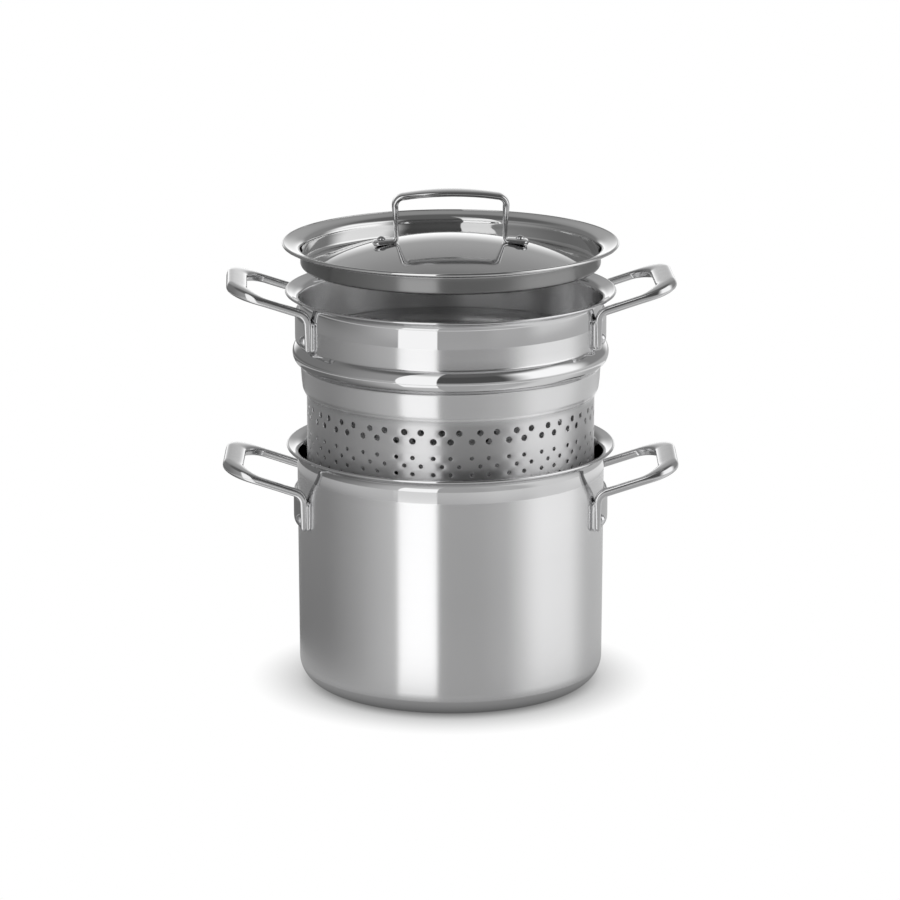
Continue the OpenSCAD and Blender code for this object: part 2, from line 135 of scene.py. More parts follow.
def ring_faces(rows, columns):
    """Four-sided faces between neighbouring rows and columns of a grid of points, whose last
    column joins the first."""
    index = np.arange(rows * columns).reshape(rows, columns)
    index = np.concatenate([index, index[:, :1]], axis=1)
    corners = [index[:-1, :-1], index[:-1, 1:], index[1:, 1:], index[1:, :-1]]
    return np.stack(corners, axis=2).reshape(-1, 4)


def build(name, body, nodes, material, surfaces, crease=35.0):
    """One piece from surfaces in millimetres. Each is a set of points with its faces, or a grid of
    points with None, which gets its faces here. Points that meet are merged, so that seams and
    poles close."""
    points, faces, count = [], [], 0
    for surface, layout in surfaces:
        if layout is None:
            layout = ring_faces(surface.shape[0], surface.shape[1])
        points.append(surface.reshape(-1, 3))
        faces.append(layout + count)
        count += len(points[-1])
    mesh = bpy.data.meshes.new(name)
    mesh.from_pydata((np.concatenate(points) * mm).tolist(), [], np.concatenate(faces).tolist())
    merged = bmesh.new()
    merged.from_mesh(mesh)
    bmesh.ops.remove_doubles(merged, verts=merged.verts, dist=merge_gap * mm)
    merged.to_mesh(mesh)
    merged.free()
    mesh.shade_smooth()
    mesh.set_sharp_from_angle(angle=math.radians(crease))
    mesh.materials.append(material)
    made = bpy.data.objects.new(name, mesh)
    bpy.context.scene.collection.objects.link(made)
    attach(made, body)
    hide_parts(*nodes)


class Finish:
    """Wraps one socket of a node tree. Arithmetic on it adds Math nodes, and node() adds any
    other."""

    def __init__(self, tree, socket=None):
        self.tree = tree
        self.socket = socket

    def node(self, kind, settings, inputs):
        made = self.tree.nodes.new(kind)
        for name, value in settings.items():
            setattr(made, name, value)
        for name, value in inputs.items():
            if isinstance(value, Finish):
                self.tree.links.new(value.socket, made.inputs[name])
            else:
                made.inputs[name].default_value = value
        return Finish(self.tree, made.outputs[0] if made.outputs else None)

    def output(self, name):
        return Finish(self.tree, self.socket.node.outputs[name])

    def math(self, operation, *values):
        return self.node("ShaderNodeMath", {"operation": operation}, dict(enumerate(values)))

    def rise(self, low, high):
        """0 below one value, 1 above the other, and a smooth step between."""
        settings = {"interpolation_type": "SMOOTHSTEP"}
        inputs = {"Value": self, "From Min": low, "From Max": high}
        return self.node("ShaderNodeMapRange", settings, inputs)

    def __add__(self, other):
        return self.math("ADD", self, other)

    def __sub__(self, other):
        return self.math("SUBTRACT", self, other)

    def __rsub__(self, other):
        return self.math("SUBTRACT", other, self)

    def __mul__(self, other):
        return self.math("MULTIPLY", self, other)

    __radd__ = __add__
    __rmul__ = __mul__


def place(tree):
    """The place of a point on the object, its height and its distance from the axis, in metres."""
    where = Finish(tree).node("ShaderNodeTexCoord", {}, {}).output("Object")
    parts = where.node("ShaderNodeSeparateXYZ", {}, {"Vector": where})
    x, y, z = (parts.output(name) for name in "XYZ")
    return where, z, (x * x + y * y).math("SQRT", x * x + y * y)


def steel(name, colour, roughness, brushed=0.0, satin=None, lift=0.0, inner=None, inner_painted_light=0.0):
    """Bare steel. A satin mask brings in the brushed finish, which blurs up and down only and has
    faint streaks that run round the wall. Its lift makes the masked part paler, or darker where it
    is below 0, which on the lid is painted shade. An inner mask adds painted light of its own."""
    streak = 0.05
    material = bpy.data.materials.new(name)
    material.use_nodes = True
    tree = material.node_tree
    shader = tree.nodes["Principled BSDF"]
    shader.inputs["Base Color"].default_value = (*colour, 1.0)
    shader.inputs["Metallic"].default_value = 1.0
    shader.inputs["Roughness"].default_value = roughness
    if satin is None:
        return material
    shader.inputs["Anisotropic"].default_value = 1.0
    shader.inputs["Anisotropic Rotation"].default_value = 0.25
    where, z, r = place(tree)
    stretched = where.node("ShaderNodeMapping", {}, {"Vector": where, "Scale": (9.0, 9.0, 900.0)})
    grain = where.node(
        "ShaderNodeTexNoise", {},
        {"Vector": stretched, "Scale": 1.0, "Detail": 3.0, "Roughness": 0.6},
    )
    mask = satin(z, r)
    rough = roughness + mask * (brushed - roughness) + mask * (grain - 0.5) * streak
    tree.links.new(rough.socket, shader.inputs["Roughness"])
    # The lift is the brushed part's tone, and painted shade where it is below 0; the inner lift
    # adds painted light.
    tone_and_painted_light = mask.math("MINIMUM", mask, 1.0) * lift
    if inner:
        tone_and_painted_light = tone_and_painted_light + inner(z, r) * inner_painted_light
    shade = where.node("ShaderNodeCombineColor", {}, {
        "Red": tone_and_painted_light + colour[0], "Green": tone_and_painted_light + colour[1], "Blue": tone_and_painted_light + colour[2],
    })
    tree.links.new(shade.socket, shader.inputs["Base Color"])
    return material


pot_bend_z = pot_top_z - pot_lip_rise
pot_face = np.concatenate([
    [[0.0, 0.0], [pot_r * 0.4, 0.0], [pot_r * 0.75, 0.0]],
    arc(pot_r - pot_draft - pot_corner_r, pot_corner_r, pot_corner_r, -90, 0, 16),
    [[pot_r - pot_draft / 2, pot_bend_z / 2]],
    flare([pot_r, pot_bend_z], [pot_r + pot_lip_out, pot_top_z - pot_lip_drop], pot_lip_slope),
])


def pot_satin(z, r):
    """The brushed part of the pot: the outside, up to the polished band."""
    inner_r = (pot_r - pot_draft - pot_sheet_t / 2) * mm
    blend = 0.5 * mm
    below = 1 - z.rise(pot_band_z * mm - blend, pot_band_z * mm + blend)
    outside = r.rise(inner_r, inner_r + blend)
    foot = 1 - z.rise(1.0 * mm, 2.0 * mm)
    return below * outside.math("MAXIMUM", outside, foot)


pot_steel = steel(
    "pot_brushed_steel", brushed_steel, mirror_rough, brushed_rough, satin=pot_satin, lift=0.14
)
build(
    "pot_body", "pot", ["pot_outer_shell", "pot_core", "pot_inner_liner"],
    pot_steel, [lathe(sheet(pot_face, pot_sheet_t), 288)],
)

# A side handle is cast in steel and polished. Two legs stand against the wall and bend out into
# the arms of a loop, whose far side widens into the grip. A curved plate between the legs takes
# the rivets.
handle_reach = 57.1
handle_slope = math.radians(18.0)
arm_apart = 93.0
arm_w = 6.6
arm_t = 6.2
grip_w = 16.0
grip_t = 8.6
leg_h = 31.1
leg_bend_r = 9.0
loop_corner_r = 24.0
leg_foot_t = 4.2
leg_out = 2.2
leg_tip_l = 3.0
plate_t = 2.8
plate_h = 24.0
plate_half = 51.0
plate_up = 0.4
plate_swell = 0.6
plate_corner_l = 3.5
plate_edge_l = 0.9
cast_crease = 50.0
cast_steel = (0.70, 0.70, 0.705)
buffed_rough = 0.1


def sweep(path, top, width, thickness, squareness, points=28):
    """A bar carried along a path. Its section is a rounded oblong, (w/2 |cos a|^q, t/2 |sin a|^q),
    set across the path with its thickness along the top direction. Widths of zero close the
    ends."""
    run = np.gradient(path, axis=0)
    run /= np.linalg.norm(run, axis=1, keepdims=True)
    top = top - run * np.sum(top * run, axis=1, keepdims=True)
    top /= np.linalg.norm(top, axis=1, keepdims=True)
    side = np.cross(top, run)
    a = np.arange(points) * 2 * np.pi / points
    q = np.broadcast_to(squareness, len(path))[:, None]
    across = np.sign(np.cos(a)) * np.abs(np.cos(a)) ** q * width[:, None] / 2
    along = np.sign(np.sin(a)) * np.abs(np.sin(a)) ** q * thickness[:, None] / 2
    section = side[:, None] * across[..., None] + top[:, None] * along[..., None]
    return path[:, None] + section, None


def smooth(x):
    """A smooth step from 0 to 1."""
    x = np.clip(x, 0.0, 1.0)
    return x * x * (3 - 2 * x)


def both_ways(values):
    """Values along half a bar, then the same ones back along its other half."""
    return np.concatenate([values, values[-2::-1]])


def rounded_ends(path, size):
    """How far a bar's section has grown at each point of its path: from nothing at its two ends to
    full over the given length, along a quarter circle."""
    step = np.linalg.norm(np.diff(path, axis=0), axis=1)
    at = np.concatenate([[0], np.cumsum(step)])
    near = np.clip(np.minimum(at, at[-1] - at) / size, 0.0, 1.0)
    return np.sqrt(1 - (1 - near) ** 2)


def side_handle(wall_r, foot_z, reach):
    """The loop and the plate of a side handle on the +X side. The loop's path goes up a leg, round
    a bend, out along an arm, round a corner and across the grip, then back the same way on the
    other side."""
    leg_x = math.sqrt(wall_r**2 - (arm_apart / 2 - arm_w / 2) ** 2) + leg_out
    out = np.array([math.cos(handle_slope), 0.0, math.sin(handle_slope)])
    turn = math.pi / 2 - handle_slope
    arm_z = leg_h + (leg_x - wall_r) * math.tan(handle_slope)
    cut = leg_bend_r * math.tan(turn / 2)
    bend = np.linspace(0, turn, 14)
    leg_end = foot_z + arm_z - cut
    leg_z = foot_z + (leg_end - foot_z) * np.array([0, 0.015, 0.05, 0.1, 0.17, 0.3, 0.5, 0.75])
    bend_x = leg_x + leg_bend_r * (1 - np.cos(bend))
    bend_z = leg_end + leg_bend_r * np.sin(bend)
    flat = [np.concatenate([0 * leg_z + leg_x, bend_x]), np.concatenate([leg_z, bend_z])]
    start = np.array([bend_x[-1], 0.0, bend_z[-1]])
    loop_l = (wall_r + reach - bend_x[-1]) / math.cos(handle_slope) - grip_w / 2
    corner = np.radians(np.linspace(0, 90, 24))
    loop_start = loop_l - loop_corner_r
    u = np.concatenate([
        np.linspace(0, loop_start, 9)[1:-1],
        loop_start + loop_corner_r * np.sin(corner),
        np.full(6, loop_l),
    ])
    v = arm_apart / 2 - loop_corner_r * (1 - np.cos(corner))
    v = np.concatenate([np.full(7, arm_apart / 2), v, np.linspace(v[-1], 0, 7)[1:]])
    lower = np.stack([flat[0], 0 * flat[0] - arm_apart / 2, flat[1]], axis=1)
    upper = start + u[:, None] * out
    upper[:, 1] = -v
    half = np.concatenate([lower, upper])
    back = half[-2::-1] * [1, -1, 1]
    path = np.concatenate([half, back])
    bend_top = np.stack([-np.cos(bend), 0 * bend, np.sin(bend)], axis=1)
    top = both_ways(np.concatenate([
        np.tile([-1.0, 0.0, 0.0], (len(leg_z), 1)),
        bend_top,
        np.tile([-out[2], 0.0, out[0]], (len(u), 1)),
    ]))
    grown = smooth((u - loop_start) / loop_corner_r)
    widen = both_ways(np.concatenate([np.zeros(len(lower)), grown]))
    full = rounded_ends(path, leg_tip_l)
    width = (arm_w + (grip_w - arm_w) * widen) * full
    thinner = (arm_t - leg_foot_t) * (1 - smooth((lower[:, 2] - foot_z) / leg_h))
    thinner = both_ways(np.concatenate([thinner, 0 * u]))
    thickness = (arm_t + (grip_t - arm_t) * widen - thinner) * full
    squareness = 0.5 + 0.12 * widen
    span = math.asin(plate_half / wall_r)
    around = span * np.sin(np.linspace(-np.pi / 2, np.pi / 2, 41))
    plate_r = wall_r + plate_t / 2
    plate = np.stack([
        plate_r * np.cos(around),
        plate_r * np.sin(around),
        0 * around + foot_z + plate_h / 2 + plate_up,
    ], axis=1)
    outward = np.stack([np.cos(around), np.sin(around), 0 * around], axis=1)
    plate_w = plate_h * (0.7 + 0.3 * rounded_ends(plate, plate_corner_l))
    plate_thick = (plate_t + plate_swell) * rounded_ends(plate, plate_edge_l)
    return [
        sweep(path, top, width, thickness, squareness),
        sweep(plate, outward, plate_w, plate_thick, 0.3),
    ]


def cast(name):
    """Polished cast steel, with the faint waves that hand polishing leaves."""
    material = steel(name, cast_steel, buffed_rough)
    tree = material.node_tree
    where = place(tree)[0]
    waves = where.node("ShaderNodeTexNoise", {}, {"Vector": where, "Scale": 130.0, "Detail": 2.0})
    lift = where.node("ShaderNodeBump", {}, {"Strength": 0.1, "Distance": 0.0003, "Height": waves})
    tree.links.new(lift.socket, tree.nodes["Principled BSDF"].inputs["Normal"])
    return material


handle_steel = cast("handle_cast_steel")


def turned(points, degrees):
    """Points turned round the Z axis."""
    a = math.radians(degrees)
    turn = np.array([[math.cos(a), math.sin(a), 0], [-math.sin(a), math.cos(a), 0], [0, 0, 1]])
    return points @ turn


def side_castings(body, wall_r, leg_z, reach, body_turn):
    """A vessel's two side handles, a left and a right one, turned along with the vessel."""
    for side, angle in {"left": 180.0, "right": 0.0}.items():
        name = f"{body}_handle_{side}"
        loop_and_plate = [
            (turned(points, angle + body_turn), None)
            for points, _ in side_handle(wall_r, leg_z, reach)
        ]
        build(
            f"{name}_casting", body, [name], handle_steel, loop_and_plate,
            cast_crease,
        )


pot_leg_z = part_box("pot_handle_right")[0].z / mm
side_castings("pot", pot_r, pot_leg_z, handle_reach, 0.0)

# Each side handle is held by two steel rivets. The head outside is a low dome, the shank goes
# through the plate and the wall, and the tail is pressed flat inside.
rivet_side = 36.0
rivet_up = 7.0
rivet_d = 5.0
rivet_head_d = 9.0
rivet_head_h = 3.2
rivet_tail_h = 1.4
polished_steel = (0.72, 0.72, 0.73)


def rivet_outline(head_d, head_h, shank_d, tail_d, tail_h, length):
    """Half the outline of a rivet along its axis: a flat tail below 0, a shank, and a dome from the
    given length up."""
    dome_r = (head_d**2 / 4 + head_h**2) / (2 * head_h)
    start = math.degrees(math.asin((dome_r - head_h) / dome_r))
    rim = 0.25
    return np.concatenate([
        [[0.0, -tail_h], [tail_d / 4, -tail_h]],
        arc(tail_d / 2 - rim, rim - tail_h, rim, -90, 0, 4),
        [[tail_d / 2, -rim], [tail_d / 2 - rim, 0.0], [shank_d / 2, 0.0]],
        [[shank_d / 2, length / 2], [shank_d / 2, length], [head_d / 2 - rim, length]],
        arc(0.0, length + head_h - dome_r, dome_r, start, 90, 12),
    ])


def rivet(outline, foot, axis):
    """A rivet turned about its own axis, which starts at its foot."""
    axis = np.array(axis) / np.linalg.norm(axis)
    across = np.cross([0.0, 1.0, 0.0] if abs(axis[2]) > 0.5 else [0.0, 0.0, 1.0], axis)
    across /= np.linalg.norm(across)
    points = lathe(outline, 32)[0]
    aside = points[..., 0:1] * across + points[..., 1:2] * np.cross(axis, across)
    return foot + aside + points[..., 2:3] * axis


rivet_steel = steel("rivet_polished_steel", polished_steel, buffed_rough)


def side_rivets(body, wall_r, sheet_t, draft, height, body_turn):
    """The four rivets of a vessel's two handles, named by side and by front or rear."""
    lean = math.degrees(math.asin(rivet_side / wall_r))
    tail_x = math.sqrt((wall_r - sheet_t) ** 2 - (rivet_head_d / 2) ** 2) - draft
    outline = rivet_outline(
        rivet_head_d, rivet_head_h, rivet_d, rivet_head_d, rivet_tail_h, wall_r + plate_t - tail_x
    )
    shape = rivet(outline, np.array([tail_x, 0.0, height]), [1.0, 0.0, 0.0])
    for side, angle in {"left": 180.0, "right": 0.0}.items():
        for end, sign in {"front": -1, "rear": 1}.items():
            turn = body_turn + angle + (sign * lean if angle == 0 else -sign * lean)
            name = f"{body}_rivet_{side}_{end}"
            round_shape = [(turned(shape, turn), None)]
            build(f"{name}_steel", body, [name], rivet_steel, round_shape)


side_rivets("pot", pot_r, pot_sheet_t, pot_draft, pot_leg_z + rivet_up, 0.0)

# The strainer insert is one drawn steel sheet. Its rim is rolled, a round bead rests on the pot's
# lip, and below a sloping neck the wall and the foot are punched with holes. It is brushed outside
# and in, apart from the bead, a band outside under the rim, and the rim itself.
insert_foot_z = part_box("insert_body")[0].z / mm
insert_rim_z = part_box("insert_body")[1].z / mm
insert_turn = 2.5
hole_turn = 5.8
insert_r = 118.0
insert_t = 1.0
insert_rim_out = 10.8
insert_rim_slope = 76.0
insert_rim_drop = 1.6
insert_rim_t = 2.0
insert_bend_z = insert_rim_z - 9.4
bead_z = insert_foot_z + 167.0
bead_r = 10.4
bead_out = 5.1
bead_up = 3.0
neck_top_r = 117.0
neck_end_r = 115.6
neck_top_z = 254.4
neck_end_z = 238.5
neck_low_z = 228.5
straight_low_z = 282.0
straight_top_z = 290.0
mirror_band_z = 290.2
inside_top_z = 304.0
hole_zone_z = 230.0
basket_r = 112.2
basket_corner_r = 14.0
around_steps = 216
group_steps = 9
large_hole_r = 2.5
small_hole_r = 1.7
large_row_z = bead_z - 37.6
large_row_step = 6.8
small_row_z = large_row_z - large_row_step - 13.0
small_row_step = 6.4
small_rows = 13
foot_ring_step = 13.0


def eased(start, corner, end):
    """A corner rounded off from one point to another in six steps: (1-t)^2 start + 2t(1-t) corner
    + t^2 end."""
    t = np.linspace(0, 1, 7)[:, None]
    start, corner, end = np.array(start), np.array(corner), np.array(end)
    return (1 - t) ** 2 * start + 2 * t * (1 - t) * corner + t**2 * end


def punched(first, width, seat, low, high, rows, hole_r, pitch, surface):
    """Cells of sheet with a hole each. A cell runs a number of angle steps round and from low to
    high across. Six loops of points make five rings of faces: they go from the cell's border to
    the hole's edge on the outer face, through the hole, and back to the border on the inner face.
    The hole's edge is drawn in a little, as punching leaves it."""
    across = np.linspace(low, high, rows + 1)
    steps = np.arange(width + 1)
    u = np.concatenate([steps[:-1], np.full(rows, width), steps[:0:-1], np.zeros(rows)])
    v = np.concatenate([np.full(width, low), across[:-1], np.full(width, high), across[:0:-1]])
    middle = (low + high) / 2
    count = len(u)
    angle = np.unwrap(np.arctan2(v - middle, (u - seat) * pitch))
    even = angle.mean() + (np.arange(count) - (count - 1) / 2) * 2 * np.pi / count
    angle = (angle + even) / 2
    loops_u, loops_v, depth = [u], [v], [0.0]
    for share, down in ((1.3, 0.0), (1.06, 0.06), (1.0, 0.3), (1.0, insert_t)):
        loops_u.append(seat + share * hole_r * np.cos(angle) / pitch)
        loops_v.append(middle + share * hole_r * np.sin(angle))
        depth.append(down)
    loops_u, loops_v = np.array([*loops_u, u]), np.array([*loops_v, v])
    depth = np.array([*depth, insert_t])[:, None]
    start = np.array(first)[:, None, None]
    cells = surface(start + loops_u, loops_v + 0 * depth, depth + 0 * loops_u)
    faces = ring_faces(len(depth), count)
    starts = np.arange(len(first)) * len(depth) * count
    return cells, (faces[None] + starts[:, None, None]).reshape(-1, 4)


def basket_angle(u):
    """The angle of a step round the basket, in radians. Step 0 is near the front."""
    return np.radians(u * 360 / around_steps - 90 + insert_turn + hole_turn)


def basket_wall(u, v, depth):
    """The upright wall: angle steps round, height up, depth inwards."""
    a = basket_angle(u)
    r = basket_r - depth
    return np.stack([r * np.cos(a), r * np.sin(a), v + 0 * a], axis=-1)


def basket_foot(u, v, depth):
    """The flat foot: angle steps round, distance from the middle, depth upwards."""
    a = basket_angle(u)
    return np.stack([v * np.cos(a), v * np.sin(a), insert_foot_z + depth + 0 * a], axis=-1)


def wall_row(z, step, hole_r, offset, rows):
    """One row of holes round the wall, two in each group, in cells of four and of five angle
    steps."""
    pitch = 2 * math.pi * basket_r / around_steps
    groups = np.arange(0, around_steps, group_steps) + offset
    low, high = z - step / 2, z + step / 2
    return [
        punched(groups + start, width, 2, low, high, rows, hole_r, pitch, basket_wall)
        for start, width in ((-2, 4), (2, 5))
    ]


surfaces = wall_row(large_row_z, large_row_step, large_hole_r, 2, 3)
surfaces += wall_row(large_row_z - large_row_step, large_row_step, large_hole_r, 0, 3)
for row in range(small_rows):
    row_z = small_row_z - row * small_row_step
    surfaces += wall_row(row_z, small_row_step, small_hole_r, row % 2 * 2, 2)
for ring in range(2, 7):
    width = 12 if ring < 5 else 6
    ring_r = ring * foot_ring_step
    surfaces.append(punched(
        np.arange(0, around_steps, width) - width // 2, width, width // 2,
        ring_r - foot_ring_step / 2, ring_r + foot_ring_step / 2, 2, small_hole_r,
        2 * math.pi * ring_r / around_steps, basket_foot,
    ))


def basket_lathe(outline):
    """A plain part of the insert, on the same angle steps as the punched parts."""
    a = basket_angle(np.arange(around_steps))
    r, z = outline[:, 0:1], outline[:, 1:2]
    return np.stack([r * np.cos(a), r * np.sin(a), z + 0 * a], axis=2), None


large_top_z = large_row_z + large_row_step / 2
large_low_z = large_row_z - large_row_step * 1.5
small_top_z = small_row_z + small_row_step / 2
small_low_z = small_row_z - (small_rows - 0.5) * small_row_step
bead_middle_r = insert_r + bead_out - bead_r
bead_round = arc(bead_middle_r, bead_z + bead_up, bead_r, -38, 54, 20)
bead_high_z = bead_round[-1, 1]
bead_end_z = bead_high_z + 0.4
neck_middle_z = (neck_low_z + neck_end_z) / 2
neck_fall = np.linspace(0, 1, 12)[1:-1]
rim_curve = flare(
    [insert_r, insert_bend_z],
    [insert_r + insert_rim_out, insert_rim_z - insert_rim_drop],
    insert_rim_slope,
)
upper_face = np.concatenate([
    [[basket_r, large_top_z]],
    [[basket_r, neck_low_z]],
    np.stack([
        basket_r + (neck_end_r - basket_r) * smooth(neck_fall),
        neck_low_z + (neck_end_z - neck_low_z) * neck_fall,
    ], axis=1),
    [[neck_end_r, neck_end_z], [neck_end_r + 0.6, neck_end_z + 5.0]],
    [[neck_top_r - 0.15, neck_top_z - 1.4]],
    eased([neck_top_r, neck_top_z], [neck_top_r + 0.2, neck_top_z + 1.4], bead_round[0]),
    bead_round[1:-1],
    eased(bead_round[-1], [insert_r + 0.1, bead_high_z + 0.5], [insert_r, bead_high_z + 1.8]),
    [[insert_r, straight_low_z], [insert_r, straight_top_z]],
    rim_curve,
])
rim_growth = np.zeros(len(upper_face))
rim_growth[-8:] = smooth(np.linspace(0, 1, 8))
upper_t = insert_t + (insert_rim_t - insert_t) * rim_growth
upper = sheet(upper_face, upper_t)
foot_low_r = foot_ring_step * 1.5
foot_top_r = foot_ring_step * 6.5
corner_face = np.concatenate([
    [[foot_top_r, insert_foot_z]],
    [[basket_r - basket_corner_r - 4, insert_foot_z]],
    arc(basket_r - basket_corner_r, insert_foot_z + basket_corner_r, basket_corner_r, -90, 0, 10),
    [[basket_r, small_low_z]],
])
corner_back = corner_face - run_and_normal(corner_face)[1] * insert_t
corner_back[-1] = [basket_r - insert_t, small_low_z]
corner_back[0] = [foot_top_r, insert_foot_z + insert_t]
plain_z = np.linspace(small_top_z, large_low_z, 3)
plain_face = np.stack([0 * plain_z + basket_r, plain_z], axis=1)
foot_middle = np.array([[0.0, insert_foot_z], [foot_low_r, insert_foot_z]])
surfaces += [
    basket_lathe(upper),
    basket_lathe(plain_face),
    basket_lathe(plain_face[::-1] - [insert_t, 0.0]),
    basket_lathe(corner_face),
    basket_lathe(corner_back[::-1]),
    basket_lathe(foot_middle),
    basket_lathe(foot_middle[::-1] + [0.0, insert_t]),
]


def bead_edges(z):
    """Two steps from 0 to 1: one where the neck meets the bead, one where the bead ends above."""
    above_neck = z.rise(neck_top_z * mm, (neck_top_z + 0.4) * mm)
    return above_neck, z.rise(bead_end_z * mm, (bead_end_z + 0.6) * mm)


def sheet_side(radius, face_r):
    """0 on the inner and 1 on the outer face of the insert's sheet, whose outer face lies at a
    radius."""
    middle = face_r - insert_t / 2
    return radius.rise((middle - 0.1) * mm, (middle + 0.1) * mm)


def insert_outer(z, r):
    """1 on the insert's outer face and 0 on its inner one, zone by zone from basket to rim."""
    above_step = z.rise(neck_middle_z * mm, (neck_middle_z + 0.5) * mm)
    above_neck, above_bead = bead_edges(z)
    basket = sheet_side(r, basket_r)
    lean = (neck_top_r - neck_end_r) / (neck_top_z - neck_end_z)
    neck = sheet_side(r - (z - neck_end_z * mm) * lean, neck_end_r)
    across, up = r - bead_middle_r * mm, z - (bead_z + bead_up) * mm
    from_middle = (across * across + up * up).math("SQRT", across * across + up * up)
    bead = sheet_side(from_middle, bead_r)
    upper = sheet_side(r, insert_r)
    low = basket * (1 - above_step) + neck * above_step * (1 - above_neck)
    return low + bead * above_neck * (1 - above_bead) + upper * above_bead


def insert_inside(z, r):
    """The insert's inner face, up to a little below the rim, which is brushed and made paler
    with painted light.
    """
    below_rim = 1 - z.rise(inside_top_z * mm, (inside_top_z + 3.0) * mm)
    return (1 - insert_outer(z, r)) * below_rim


def insert_satin(z, r):
    """The brushed parts: outside, all but the bead and the band under the rim, and rougher round
    the holes; inside, everything below the rim."""
    above_neck, above_bead = bead_edges(z)
    bead = above_neck * (1 - above_bead)
    plain = 1 - z.rise(mirror_band_z * mm, (mirror_band_z + 0.6) * mm)
    holes = 1 - z.rise(hole_zone_z * mm, (hole_zone_z + 4.0) * mm)
    outside = insert_outer(z, r) * plain * (1 - bead) * (1 + 0.8 * holes)
    return outside + insert_inside(z, r)


# Painted light: the inner face is 0.17 paler, to lighten the shade inside the insert.
insert_steel = steel(
    "insert_brushed_steel", brushed_steel, mirror_rough, brushed_rough,
    satin=insert_satin, lift=0.07, inner=insert_inside, inner_painted_light=0.17,
)
build("insert_basket", "insert", ["insert_body"], insert_steel, surfaces)

# The insert has two cast and polished steel handles of the same form as the pot's. They sit just
# under its rim, reach out a little less, and are held by the same rivets.
insert_leg_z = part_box("insert_handle_right")[0].z / mm
insert_handle_reach = handle_reach - 1.6
side_castings("insert", insert_r, insert_leg_z, insert_handle_reach, insert_turn)
side_rivets("insert", insert_r, insert_t, 0.0, insert_leg_z + rivet_up, insert_turn)

# The lid is a polished steel pressing. A low dome ends in a channel, from which the wall rises to a
# wide rim with a rolled edge.
lid_turn = 2.0
lid_t = 0.9
dome_r = 280.0
dome_edge_r = 99.7
dome_top_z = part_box("lid_body")[1].z / mm
channel_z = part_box("lid_body")[0].z / mm
channel_bend_r = 2.6
plug_r = 116.5
lid_bend_z = channel_z + 10.2
lid_edge_r = 1.3
lid_rim_out = 12.8
lid_rim_slope = 72.0
edge_top_z = 351.34
lid_colour = (0.72, 0.72, 0.72)
drawn_rough = 0.3

dome_angle = np.linspace(0, math.asin(dome_edge_r / dome_r), 25)
dome = np.stack([
    dome_r * np.sin(dome_angle),
    dome_top_z - dome_r + dome_r * np.cos(dome_angle),
], axis=1)
bottom = arc(
    plug_r - lid_t - channel_bend_r, channel_z + lid_t + channel_bend_r, channel_bend_r, -110, 0, 14
)
tip = [plug_r + lid_rim_out, edge_top_z - lid_edge_r]
top_bend = flare([plug_r - lid_t, lid_bend_z], [tip[0] - 0.6, tip[1] + 0.9], lid_rim_slope, 20)
lid_top = np.concatenate([dome, bottom, top_bend])
lid_under = lid_top + run_and_normal(lid_top)[1] * lid_t
lid_under[0] = [0.0, dome_top_z - lid_t]
rolled = arc(tip[0], tip[1], lid_edge_r, -100, 118, 18)
lid_outline = np.concatenate([lid_under, rolled, lid_top[::-1]])


def plug_satin_and_shade(z, r):
    """The outer face of the plug, left as it was drawn, and darker with painted shade."""
    outside = r.rise((plug_r - lid_t * 0.6) * mm, (plug_r - lid_t * 0.4) * mm)
    return outside * (1 - z.rise((lid_bend_z + 2.5) * mm, (lid_bend_z + 4.0) * mm))


# Painted shade: the plug's outer face under the rim is 0.42 darker than the rest of the lid.
lid_steel = steel(
    "lid_polished_steel", lid_colour, mirror_rough, drawn_rough, satin=plug_satin_and_shade, lift=-0.42
)
build(
    "lid_pressing", "lid", ["lid_body"], lid_steel,
    [lathe(lid_outline, 288)],
)

# The lid's handle is one bent and polished steel strap: two feet on the dome, two legs, and a
# slightly arched bar that is widest in the middle.
strap_top_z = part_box("lid_handle")[1].z / mm
leg_top_x = 43.0
leg_foot_x = 42.0
strap_t = 5.0
leg_low_t = 3.3
foot_t = 4.6
foot_end_x = 61.0
foot_rise = 0.9
foot_sink = 0.3
foot_w = 17.0
leg_w = 13.0
corner_w = 14.5
bar_w = 18.0
bar_rise = 2.8
strap_corner_r = 7.0
foot_bend_r = 3.2
strap_rivet_x = 53.75


def on_dome(x):
    """The height of the lid's dome at a distance from its middle."""
    return dome_top_z - dome_r + np.sqrt(dome_r**2 - x**2)


foot_z = on_dome(strap_rivet_x) + foot_t / 2 - foot_sink
bar_end_z = strap_top_z - strap_t / 2 - bar_rise
foot_x = np.linspace(foot_end_x, leg_foot_x + foot_bend_r, 12)
foot_lift = np.linspace(-0.6, foot_rise, 12)
foot_turn = np.radians(np.linspace(0, 90, 8))[1:]
leg_low_z = foot_z + foot_rise + foot_bend_r
leg_high_z = bar_end_z - strap_corner_r
leg_share = np.linspace(0, 1, 10)[1:-1]
corner_turn = np.radians(np.linspace(0, 90, 12))
bar_x = np.linspace(leg_top_x - strap_corner_r, 0, 14)[1:]
bar_half = leg_top_x - strap_corner_r
strap_x = np.concatenate([
    foot_x,
    leg_foot_x + foot_bend_r * (1 - np.sin(foot_turn)),
    leg_foot_x + (leg_top_x - leg_foot_x) * leg_share,
    bar_half + strap_corner_r * np.cos(corner_turn),
    bar_x,
])
strap_z = np.concatenate([
    foot_z + foot_lift,
    foot_z + foot_rise + foot_bend_r * (1 - np.cos(foot_turn)),
    leg_low_z + (leg_high_z - leg_low_z) * leg_share,
    leg_high_z + strap_corner_r * np.sin(corner_turn),
    bar_end_z + bar_rise * (1 - (bar_x / bar_half) ** 2),
])
parts = [len(foot_x) + len(foot_turn), len(leg_share), len(corner_turn), len(bar_x)]
